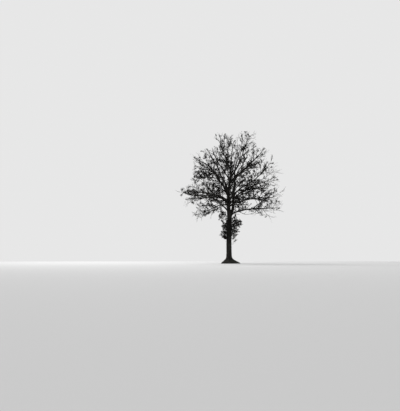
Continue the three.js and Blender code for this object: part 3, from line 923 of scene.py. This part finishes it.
# The stems of the tufts on the trunk count too among the stems that the twigs of the crown keep clear of.
tuft_up = np.arange(TUFT_COUNT) / (TUFT_COUNT - 1)
tuft_heading = TUFT_HEADING + GOLDEN_TURN * np.arange(TUFT_COUNT)
tuft_height, tuft_length = lerp(LOWEST_TUFT, HIGHEST_TUFT, tuft_up[:, None]).T
in_bark = direction(tuft_heading, 0) * trunk_radius(tuft_height)[:, None] / 2
tuft_seeds = TUFT_SEED + np.arange(TUFT_COUNT)
tuft_stems = grown(
    TUFT_STEMS, trunk_point(tuft_height) + in_bark, direction(tuft_heading, TUFT_RISE), tuft_length,
    np.full(TUFT_COUNT, TUFT_RADIUS), tuft_seeds, len(limbs) + np.arange(TUFT_COUNT), tuft_seeds,
)

straights = {"start": [], "end": [], "radius": [], "stem_of": []}


def add_straights(points, radii, stem_of):
    straights["start"] += list(points[:-1])
    straights["end"] += list(points[1:])
    straights["radius"] += list(np.maximum(radii[:-1], radii[1:]))
    straights["stem_of"] += [stem_of] * (len(points) - 1)


trunk_heights = TRUNK_HEIGHT * (np.arange(TRUNK_RINGS) / (TRUNK_RINGS - 1)) ** TRUNK_CROWDING
add_straights(trunk_point(trunk_heights), trunk_radius(trunk_heights), -1)
for limb in limbs.values():
    add_straights(limb["points"][: BOUGH_STEPS + 1], limb["radii"][: BOUGH_STEPS + 1], -1)
for family in (stems, tuft_stems):
    for points, radii, mass in zip(family.points, family.radii, family.mass):
        add_straights(points, radii, mass)
straights = {name: np.array(values) for name, values in straights.items()}
is_stem = straights["stem_of"] >= 0
mass_reach = np.concatenate([stems.length, tuft_stems.length]) * SPACE_SHARE


def in_space(places, mass, margin):
    """Whether a place is nearer to its own mass's stem than to any other's, and within its reach."""
    gaps = distances(places, straights["start"][is_stem], straights["end"][is_stem])
    own = straights["stem_of"][is_stem] == mass[:, None]
    nearest = np.where(own, gaps, np.inf).min(axis=1)
    others = np.where(own, np.inf, gaps).min(axis=1)
    return (nearest <= mass_reach[mass]) & (others > nearest + margin)


def clear_of_limbs(start, end, radius, mass):
    clear = np.ones(len(start), bool)
    for share in (np.arange(PLACES_TESTED) + 1) / PLACES_TESTED:
        gaps = distances(lerp(start, end, share), straights["start"], straights["end"])
        room = straights["radius"] + radius[:, None] + GAP_TO_LIMBS
        own = straights["stem_of"] == mass[:, None]
        clear &= (own | (gaps > room)).all(axis=1)
    return clear


def keeps_its_space(shoots):
    """The source's rule: a shoot stays in the space of its mass and touches no limb."""
    radius = shoots.radii[:, 0]
    fits = in_space(shoots.points[:, 0], shoots.mass, radius + GAP_TO_NEIGHBOURS)
    for step in range(1, shoots.points.shape[1]):
        fits &= in_space(shoots.points[:, step], shoots.mass, radius + GAP_TO_NEIGHBOURS)
        fits &= clear_of_limbs(shoots.points[:, step - 1], shoots.points[:, step], radius, shoots.mass)
    return fits


def seen_in(places, seeds, ovals, edge):
    """Whether a place lies in one of the ovals, as it is seen from the front. Their edges are ragged."""
    offset = places - VIEWPOINT
    seen = (VIEWPOINT + offset * (-VIEWPOINT[1] / offset[:, 1:2]))[:, [0, 2]]
    reach = lerp(*edge, chance(seeds, EDGE_DRAW))
    inside = np.zeros(len(places), bool)
    for across, height, half_across, half_height in ovals:
        inside |= (((seen - (across, height)) / (half_across, half_height)) ** 2).sum(axis=1) < reach
    return inside


def keeps_the_gaps_open(shoots):
    """A finer shoot only keeps out of the gaps, out of the trunk and inside the whole tree's box."""
    fits = np.ones(len(shoots), bool)
    low, high = (np.array(corner) for corner in cad_box)
    for step in range(1, shoots.points.shape[1]):
        place = shoots.points[:, step]
        fits &= ((place > low) & (place < high)).all(axis=1)
        fits &= ~seen_in(place, shoots.seed, GAPS, GAP_EDGE)
        from_trunk = np.linalg.norm((place - trunk_point(place[:, 2]))[:, :2], axis=1)
        fits &= from_trunk > np.where(place[:, 2] < TRUNK_HEIGHT, trunk_radius(place[:, 2]), 0)
    return fits


def borne_by(parents, habit, fits=keeps_the_gaps_open):
    """The shoots that each parent bears, in a spiral round it, each as long as it has room for."""
    born = []
    seed = parents.seed + habit.get("seeds", 0)
    for k in range(habit["count"]):
        share = lerp(habit["first"], habit["last"], (k + chance(seed, DRAW_OF["place"] + k)) / habit["count"])
        at, along = place_on(parents.points, share)
        across = any_across(along)
        sideways = np.cross(along, across)
        turn = np.radians(GOLDEN_TURN * k + 360 * chance(seed, DRAW_OF["turn"]))[:, None]
        lean = habit["lean"] * lerp(*LEAN_ALONG, share)
        lean = np.radians(lean * lerp(*LEAN_SPREAD, chance(seed, DRAW_OF["lean"] + k)))[:, None]
        way = along * np.cos(lean) + (across * np.cos(turn) + sideways * np.sin(turn)) * np.sin(lean)
        vigour = lerp(*VIGOUR_SPREAD, chance(seed, DRAW_OF["vigour"] + k))
        length = parents.length * habit["length"] * (1 - habit["shortening"] * share) * vigour
        radius = habit["thickness"] * lerp(*step_at(parents.radii, share))
        own_seed = np.floor(chance(seed, DRAW_OF["child"] + k) * SEED_COUNT).astype(np.int64)
        spray = parents.spray if "same_tint" in habit else own_seed
        to_line = (place_on(parents.line, share)[0] - at)[:, None]
        waiting = np.arange(len(parents))
        for shorter in SHORTENED:
            waiting = waiting[length[waiting] * shorter > habit.get("shortest", SHORTEST)]
            if not len(waiting):
                break
            columns = (at, way, length * shorter, radius, own_seed, parents.mass, spray)
            tried = grown(habit, *(values[waiting] for values in columns))
            good = fits(tried)
            found = tried.some(good)
            found.points = found.points + to_line[waiting[good]]
            born.append(found)
            waiting = waiting[~good]
    return together(born)


boughs = slender(limbs.values(), 0, WHOLE_LIMB_RINGS, BOUGH_BRANCHLET_SEEDS)
boughs.points, boughs.radii = (values[:, : BOUGH_STEPS + 1] for values in (boughs.points, boughs.radii))
boughs.line = boughs.line[:, : 1 + WHOLE_LIMB_STEP * BOUGH_STEPS]
boughs.length = boughs.length * BOUGH_STEPS / LIMB_STEPS

branchlets = softened(borne_by(stems, BRANCHLETS, keeps_its_space), BRANCHLET_RINGS)
bough_branchlets = softened(borne_by(boughs, BOUGH_BRANCHLETS), BRANCHLET_RINGS)
fork_branchlets = softened(borne_by(forks, FORK_BRANCHLETS), BRANCHLET_RINGS)
for name, some in (("limb_ends", branchlets), ("boughs", bough_branchlets), ("forks", fork_branchlets)):
    joined_tubes(f"branchlets_of_{name}", some, BRANCHLET_SIDES)


# THE SIDE LIMBS
# Lesser limbs that leave the boughs and limb ends at a narrow angle and climb beside them into the crown.
# They are too slender for furrows, so their bark is that of the twigs.

SIDE_LIMBS = dict(
    steps=4, kink=0.24, lift=0.1, count=8, first=0.16, last=0.8,
    length=0.36, shortening=0.4, lean=44, thickness=0.5, least=0.032,
)
DEEP_SIDE_LIMBS = dict(SIDE_LIMBS, count=5, first=0.4)
SIDE_LIMB_SEEDS = 1700
SIDE_LIMB_RINGS = 14
SIDE_LIMB_SIDES = 8


def crosses_no_limb(shoots):
    fits = keeps_the_gaps_open(shoots)
    for step in range(2, shoots.points.shape[1]):
        ends = shoots.points[:, step - 1], shoots.points[:, step]
        fits &= clear_of_limbs(*ends, shoots.radii[:, 0], shoots.mass)
    return fits


whole_limbs = slender(limbs.values(), 0, WHOLE_LIMB_RINGS, SIDE_LIMB_SEEDS)
is_deep = whole_limbs.mass >= len(BROAD_LIMBS)
side_limbs = softened(
    together([
        borne_by(whole_limbs.some(~is_deep), SIDE_LIMBS, crosses_no_limb),
        borne_by(whole_limbs.some(is_deep), DEEP_SIDE_LIMBS, crosses_no_limb),
    ]),
    SIDE_LIMB_RINGS,
)
joined_tubes("side_limbs", side_limbs, SIDE_LIMB_SIDES)


# THE TWIGS
# The shoots of the last few summers, a hand's span to a metre long, which carry the finer ones.
# They stand along branchlets and limbs, and are thicker than life, because they stand for many more.

TWIGS = dict(
    steps=1, kink=0.2, lift=0.1, count=3, first=0.25, last=0.85,
    length=0.6, shortening=0.35, lean=50, thickness=0.5,
)
SIDE_TWIGS = dict(
    steps=2, kink=0.3, lift=0.12, count=4, first=0.1, last=0.97,
    length=0.42, shortening=0.45, lean=52, thickness=0.42, least=0.02, stoutest=0.07, seeds=1,
)
LIMB_TWIGS = dict(
    steps=2, kink=0.3, lift=0.12, count=10, first=0.02, last=0.97,
    length=0.2, shortening=0.35, lean=56, thickness=0.22, least=0.016, seeds=1,
)
THICKET_TWIGS = dict(SIDE_TWIGS, seeds=2)
TWIG_RINGS = 4
TWIG_SIDES = 4
TWIG_TAPER = 0.55
THICKET_EDGE = (0, 1.8)
THICKETS = (
    # across, height and half sizes of the places where the crown is thickest from the front
    (2.17, 7.91, 0.86, 0.54),
    (3.95, 7.85, 0.38, 0.45),
    (1.25, 6.93, 0.54, 0.43),
    (-1.05, 8.05, 0.35, 0.5),
    (-1.6, 6.65, 0.45, 0.28),
    (1.4, 6.5, 0.35, 0.4),
    (3.1, 10.91, 0.28, 0.28),
    (4.17, 7.85, 0.3, 0.3),
    (3.9, 6.48, 0.42, 0.3),
    (-3.83, 7.74, 0.35, 0.25),
    (-3.07, 7.74, 0.35, 0.3),
    (-1.7, 8.2, 0.45, 0.35),
    (0.95, 6.2, 0.4, 0.5),
    (1.75, 9.7, 0.3, 0.4),
    (-2.37, 9.43, 0.54, 0.33),
    (2.3, 10.74, 0.46, 0.26),
    (-3.12, 10.7, 0.43, 0.25),
    (-3.1, 9.6, 0.6, 0.35),
    (-4.64, 7.69, 0.43, 0.33),
    (-3.99, 6.82, 0.43, 0.2),
    (-2.26, 6.28, 0.32, 0.27),
    (-3.18, 10.03, 0.32, 0.27),
    (0.7, 5.69, 0.27, 0.25),
    (1.67, 5.95, 0.35, 0.2),
    (2.56, 9.49, 0.26, 0.26),
    (1.47, 8.83, 0.26, 0.26),
    (4.39, 7.96, 0.3, 0.25),
    (3.45, 6.9, 0.3, 0.13),
    (4.1, 6.64, 0.3, 0.22),
    (-1.72, 6.58, 0.25, 0.18),
    (2.25, 12.11, 0.22, 0.22),
    (-1.01, 11.32, 0.2, 0.2),
    (1.69, 9.16, 0.2, 0.2),
)


def ends_in_thicket(shoots):
    return seen_in(shoots.points[:, -1], shoots.seed, THICKETS, THICKET_EDGE)


def thickens(shoots):
    return keeps_the_gaps_open(shoots) & ends_in_thicket(shoots)


twigs = borne_by(branchlets, TWIGS, keeps_its_space)
# The source's twigs have a single step, so they get a middle point, as the others have.
twigs.points = curve_through(twigs.points, np.linspace(0, 1, 3))
twigs.radii = np.maximum(twigs.radii[:, :1], SIDE_TWIGS["least"]) * np.array([1, 0.5, 0])
bearers = (branchlets, bough_branchlets, side_limbs, fork_branchlets)
twigs = softened(
    together([
        twigs,
        *(borne_by(some, SIDE_TWIGS) for some in bearers),
        *(borne_by(some, THICKET_TWIGS, thickens) for some in bearers),
        *(borne_by(some, LIMB_TWIGS) for some in (stems, forks)),
    ]),
    TWIG_RINGS, TWIG_TAPER,
)
joined_tubes("twigs", twigs, TWIG_SIDES)


# THE TWIGLETS
# Last summer's growth: thin straight shoots in the spiral that the buds stood in. About a third of the twigs
# end in a bush of them, and two thirds in the thickest places. In the fringe of the crown fewer do, and the
# other twigs there carry a few long fine ones instead.

BUSHY_DRAW = 8
BUSHY_SHARE = 0.35
BUSHY_IN_THICKETS = 0.68
BUSHY_IN_FRINGE = 0.5
CROWN_MIDDLE = (0.2, 0, 8.8)
CROWN_HALF_SIZES = (5.6, 5.0, 5.5)
FRINGE_FROM = 0.8
TWIGLETS = dict(
    steps=1, kink=0.25, lift=0.14, count=34, first=0.5, last=1, stoutest=0.12,
    length=0.34, shortening=0.2, lean=56, thickness=0.7, least=0.013, shortest=0.05,
    same_tint=True,
)
FRINGE_TWIGLETS = dict(TWIGLETS, count=4, first=0.25, length=0.55, lean=44, least=0.008)
FINE_RINGS = 2
FINE_SIDES = 3


def in_halves(name, shoots):
    """The finest shoots are too many for one mesh, so they are joined in two."""
    for number, rows in enumerate(np.array_split(np.arange(len(shoots)), 2)):
        joined_tubes(f"{name}_{number + 1}", shoots.some(rows), FINE_SIDES)


from_middle = (twigs.points[:, -1] - CROWN_MIDDLE) / CROWN_HALF_SIZES
in_fringe = np.linalg.norm(from_middle, axis=1) > FRINGE_FROM
bushy_share = np.where(ends_in_thicket(twigs), BUSHY_IN_THICKETS, BUSHY_SHARE)
bushy_share = bushy_share * np.where(in_fringe, BUSHY_IN_FRINGE, 1)
bushy = chance(twigs.seed, BUSHY_DRAW) < bushy_share
twiglets = together([
    borne_by(twigs.some(bushy), TWIGLETS),
    borne_by(twigs.some(in_fringe & ~bushy), FRINGE_TWIGLETS),
])
twiglets = softened(twiglets, FINE_RINGS)
in_halves("twiglets", twiglets)


# THE SPURS
# The short side shoots of the twiglets, which end in the winter buds. They are the finest wood of the tree,
# one to a twiglet, and have its tint.

SPURS = dict(
    steps=1, kink=0.2, lift=0.1, count=1, first=0.3, last=1,
    length=0.6, shortening=0.2, lean=52, thickness=0.75, least=0.011, shortest=0.04,
    same_tint=True,
)
spurs = softened(borne_by(twiglets, SPURS), FINE_RINGS)
in_halves("spurs", spurs)


# THE TUFTS ON THE TRUNK
# Shoots that broke from buds in the bark of the trunk below the crown, in thick tufts round it.
# They branch as the crown does, but shorter and finer, and under the tufts a few stand alone.

TUFT_BRANCHLETS = dict(
    steps=2, kink=0.3, lift=0.1, count=5, first=0.16, last=0.8,
    length=0.7, shortening=0.45, lean=62, thickness=0.5,
)
TUFT_SIDE_TWIGS = dict(SIDE_TWIGS, count=8, length=0.6, thickness=0.6, shortest=0.08)
TUFT_STEM_TWIGS = dict(TUFT_SIDE_TWIGS, count=6, first=0.25, length=0.3, shortest=SHORTEST)
TUFT_SPRAY_TWIGS = dict(TUFT_SIDE_TWIGS, count=12, first=0.3, length=0.42)
TUFT_TWIGLETS = dict(TWIGLETS, count=40, length=0.4, least=0.01, stoutest=0.09, shortest=0.04)
TUFT_SPURS = dict(SPURS, least=0.008, shortest=0.03)
TUFT_BUSHY_SHARE = 0.54
TUFT_STEM_RINGS = 12
TUFT_STEM_SIDES = 6
TUFT_BRANCHLET_RINGS = 8
TUFT_BRANCHLET_SIDES = 5

TUFT_SPRAY_STEMS = dict(steps=4, kink=0.18, lift=0)
TUFT_SPRAY_RADIUS = 0.024
TUFT_SPRAY_SEED = 6100
TUFT_SPRAYS = (
    # height where it leaves the bark, heading, length, rise
    (4.0, 350, 1.08, 32),
    (4.1, 15, 0.95, 26),
    (3.85, 10, 0.74, 30),
    (3.6, 335, 0.86, 25),
    (3.3, 20, 0.66, 28),
    (2.75, 345, 0.66, 26),
    (2.45, 5, 0.55, 40),
    (3.5, 190, 0.7, 30),
    (3.1, 172, 0.68, 28),
    (2.75, 195, 0.52, 18),
    (3.35, 160, 0.55, 20),
    (2.5, 205, 0.38, 35),
    (5.0, 168, 1.1, 44),
    (4.95, 190, 1.05, 30),
    (3.8, 358, 1.2, 26),
    (2.9, 10, 0.7, 20),
    (2.95, 12, 0.58, 22),
    (3.05, 330, 0.66, 12),
    (3.35, 350, 0.8, 20),
    (3.9, 5, 1.18, 22),
    (4.25, 340, 1.05, 8),
    (2.6, 355, 0.6, 32),
    (4.75, 350, 0.62, 32),
)

BARK_SHOOTS = dict(steps=2, kink=0.3, lift=0.15)
BARK_SHOOT_COUNT = 170
BARK_SHOOT_SEED = 7000
BARK_SHOOT_RADIUS = 0.012
BARK_SHOOT_HEIGHT = (2.6, 4.5)
BARK_SHOOT_CROWDING = 1.4
BARK_SHOOT_RISE = (5, 60)
BARK_SHOOT_LENGTH = (0.22, 0.56)
DEPTH_IN_BARK = 0.8
LONE_SHOOT_SEED = 7600
LONE_SHOOTS = (
    # height where it leaves the bark, heading, length, rise
    (2.1, 352, 0.66, 24),
    (1.95, 8, 0.52, 32),
    (2.3, 186, 0.36, 30),
)


def out_of_the_bark(habit, sites, radius, first_seed):
    """Shoots that set out from inside the bark of the trunk."""
    height, heading, length, rise = np.transpose(sites)
    seed = first_seed + np.arange(len(height))
    start = trunk_point(height) + direction(heading, 0) * trunk_radius(height)[:, None] * DEPTH_IN_BARK
    mass = np.full(len(seed), len(limbs))
    return grown(habit, start, direction(heading, rise), length, np.full(len(seed), radius), seed, mass, seed)


tuft_sprays = out_of_the_bark(TUFT_SPRAY_STEMS, TUFT_SPRAYS, TUFT_SPRAY_RADIUS, TUFT_SPRAY_SEED)
lone_shoots = out_of_the_bark(BARK_SHOOTS, LONE_SHOOTS, BARK_SHOOT_RADIUS, LONE_SHOOT_SEED)
bark_seeds = BARK_SHOOT_SEED + np.arange(BARK_SHOOT_COUNT)
bark_height = lerp(*BARK_SHOOT_HEIGHT, chance(bark_seeds, 0) ** BARK_SHOOT_CROWDING)
bark_heading = 360 * chance(bark_seeds, 1)
bark_rise = lerp(*BARK_SHOOT_RISE, chance(bark_seeds, 2))
bark_length = lerp(*BARK_SHOOT_LENGTH, chance(bark_seeds, 3))
bark_sites = np.stack([bark_height, bark_heading, bark_length, bark_rise], axis=1)
bark_shoots = out_of_the_bark(BARK_SHOOTS, bark_sites, BARK_SHOOT_RADIUS, BARK_SHOOT_SEED)

tuft_stems = softened(tuft_stems, TUFT_STEM_RINGS)
tuft_sprays = softened(tuft_sprays, TUFT_STEM_RINGS)
tuft_branchlets = softened(borne_by(tuft_stems, TUFT_BRANCHLETS, keeps_its_space), TUFT_BRANCHLET_RINGS)
tuft_twigs = softened(borne_by(tuft_branchlets, TWIGS, keeps_its_space), TWIG_RINGS)
tuft_side_twigs = together([
    borne_by(tuft_branchlets, TUFT_SIDE_TWIGS),
    borne_by(tuft_stems, TUFT_STEM_TWIGS),
    borne_by(tuft_sprays, TUFT_SPRAY_TWIGS),
    bark_shoots,
    lone_shoots,
])
tuft_side_twigs = softened(tuft_side_twigs, TWIG_RINGS, TWIG_TAPER)
tuft_bushy = tuft_side_twigs.some(chance(tuft_side_twigs.seed, BUSHY_DRAW) < TUFT_BUSHY_SHARE)
tuft_twiglets = together([borne_by(some, TUFT_TWIGLETS) for some in (tuft_twigs, tuft_bushy)])
tuft_twiglets = softened(tuft_twiglets, FINE_RINGS)
tuft_spurs = softened(borne_by(tuft_twiglets, TUFT_SPURS), FINE_RINGS)

tuft_stem_piece = joined_tubes("tuft_stems", tuft_stems, TUFT_STEM_SIDES)
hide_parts(*(f"tuft_{k + 1}" for k in range(TUFT_COUNT)))
joined_tubes("tuft_sprays", tuft_sprays, TUFT_STEM_SIDES)
joined_tubes("tuft_branchlets", tuft_branchlets, TUFT_BRANCHLET_SIDES)
joined_tubes("tuft_twigs", tuft_twigs, TWIG_SIDES)
joined_tubes("tuft_side_twigs", tuft_side_twigs, TWIG_SIDES)
joined_tubes("tuft_twiglets", tuft_twiglets, FINE_SIDES)
joined_tubes("tuft_spurs", tuft_spurs, FINE_SIDES)


# THE STUDIO
# A plain pale floor that ends a little way behind the tree, one big soft light, and the camera, which looks
# along the ground from the same side and height as the photograph's.

FLOOR_SIZE = (180, 84, 1)
FLOOR_MIDDLE = (0, -28, 0)
FLOOR_GREY = (0.68, 0.68, 0.68, 1)
FLOOR_ROUGHNESS = 0.95
BACKDROP_GREY = (0.8, 0.8, 0.8, 1)
LIGHT_SIZE = 26
LIGHT_POWER = 9000
LIGHT_PLACE = (-20, 12, 34)
LIGHT_AIM = (0, 0, 7)
CAMERA_PITCH = 4.562
CAMERA_LENS = 51.33
FILM_WIDTH = 36
FARTHEST_SEEN = 500

bpy.ops.object.select_all(action="DESELECT")
bpy.ops.mesh.primitive_plane_add(size=1, location=FLOOR_MIDDLE)
floor = bpy.context.object
floor.name = floor.data.name = "floor"
floor.scale = FLOOR_SIZE
bpy.ops.object.transform_apply(location=True, rotation=True, scale=True)
floor_paint = bpy.data.materials.new("floor_paint")
floor_paint.use_nodes = True
floor_shader = floor_paint.node_tree.nodes["Principled BSDF"]
floor_shader.inputs["Base Color"].default_value = FLOOR_GREY
floor_shader.inputs["Roughness"].default_value = FLOOR_ROUGHNESS
floor.data.materials.append(floor_paint)

world = bpy.data.worlds.new("studio")
world.use_nodes = True
world.node_tree.nodes["Background"].inputs["Color"].default_value = BACKDROP_GREY
bpy.context.scene.world = world

light = bpy.data.lights.new("soft_box", "AREA")
light.shape = "DISK"
light.size = LIGHT_SIZE
light.energy = LIGHT_POWER
soft_box = bpy.data.objects.new("soft_box", light)
soft_box.location = LIGHT_PLACE
soft_box.rotation_euler = (Vector(LIGHT_AIM) - soft_box.location).to_track_quat("-Z", "Y").to_euler()
bpy.context.scene.collection.objects.link(soft_box)

camera = bpy.data.objects.new("camera", bpy.data.cameras.new("camera"))
camera.location = VIEWPOINT
camera.rotation_euler = (math.radians(90 + CAMERA_PITCH), 0, 0)
camera.data.sensor_width = FILM_WIDTH
camera.data.lens = CAMERA_LENS
camera.data.clip_end = FARTHEST_SEEN
bpy.context.scene.collection.objects.link(camera)
bpy.context.scene.camera = camera
bpy.context.scene.view_settings.view_transform = "Standard"
